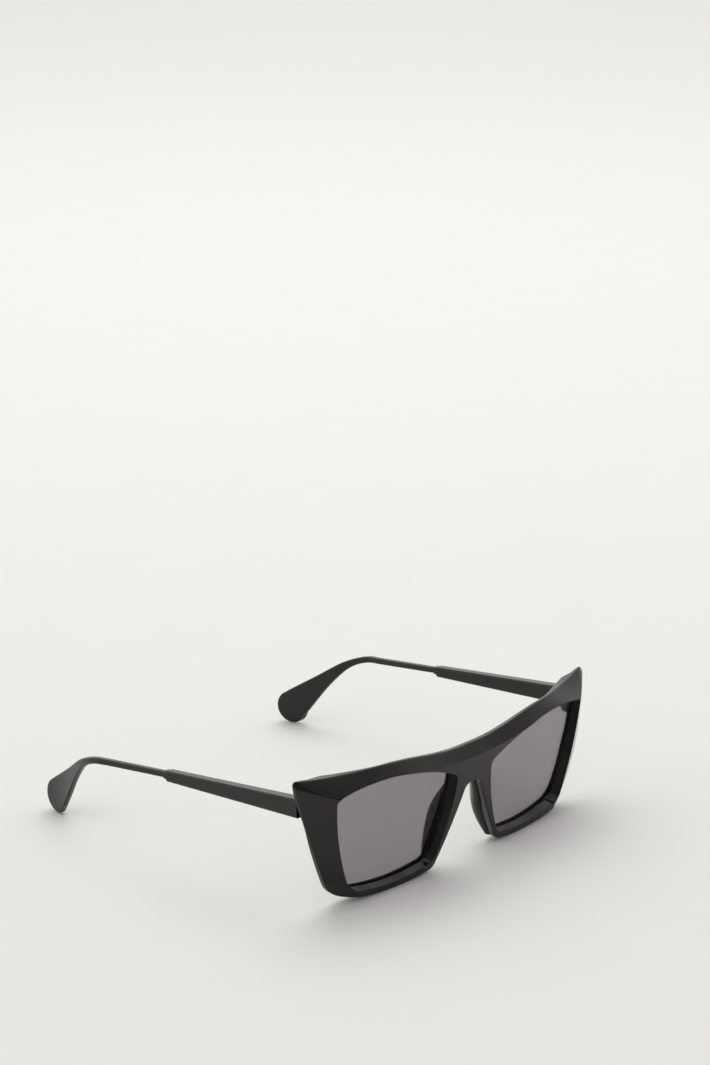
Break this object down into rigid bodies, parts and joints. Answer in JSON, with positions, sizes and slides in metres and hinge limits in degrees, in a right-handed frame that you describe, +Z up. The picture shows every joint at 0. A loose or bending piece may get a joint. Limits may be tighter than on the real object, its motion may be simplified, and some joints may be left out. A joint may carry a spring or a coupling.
{
  "type": "cat eye sunglasses",
  "caption": "Angular cat eye sunglasses with a faceted one-piece front, gently bowed tinted lenses and slim temples that fold inwards on small screw hinges.",
  "frame": {"origin": "centre of the footprint of the opened glasses, on the plane they stand on", "axes": "+X towards the wearer's left, +Y from the front back along the temples, +Z up"},
  "size_m": [0.1464, 0.139, 0.0447],
  "materials": {
    "acetate": "polished",
    "temple_acetate": "satin",
    "arm_acetate": "satin",
    "lens": "polished tinted",
    "hinge_metal": "satin black",
    "screw_metal": "brushed",
    "collar_metal": "satin black",
    "washer_nylon": "matte",
    "core_steel": "drawn"
  },
  "bodies": {
    "front": {"front_frame": "acetate", "left_lens": "lens", "right_lens": "lens", "left_nose_pad": "acetate", "right_nose_pad": "acetate", "left_front_hinge": "hinge_metal", "right_front_hinge": "hinge_metal", "hinge_screws": "screw_metal", "hinge_washers": "washer_nylon"},
    "left_temple": {"left_temple_hinge": "hinge_metal", "left_temple_rivets": "screw_metal", "left_temple_sleeve": "temple_acetate", "left_sleeve_collar": "collar_metal", "left_temple_arm": "arm_acetate", "left_temple_core": "core_steel"},
    "right_temple": {"right_temple_hinge": "hinge_metal", "right_temple_rivets": "screw_metal", "right_temple_sleeve": "temple_acetate", "right_sleeve_collar": "collar_metal", "right_temple_arm": "arm_acetate", "right_temple_core": "core_steel"}
  },
  "joints": [
    {"name": "left_temple_fold", "type": "hinge", "parent": "front", "child": "left_temple", "pos_m": [0.0651, -0.0534, 0.03499], "axis": [0, 0, 1], "range_deg": [0, 86]},
    {"name": "right_temple_fold", "type": "hinge", "parent": "front", "child": "right_temple", "pos_m": [-0.0651, -0.0534, 0.03499], "axis": [0, 0, -1], "range_deg": [0, 75]}
  ]
}
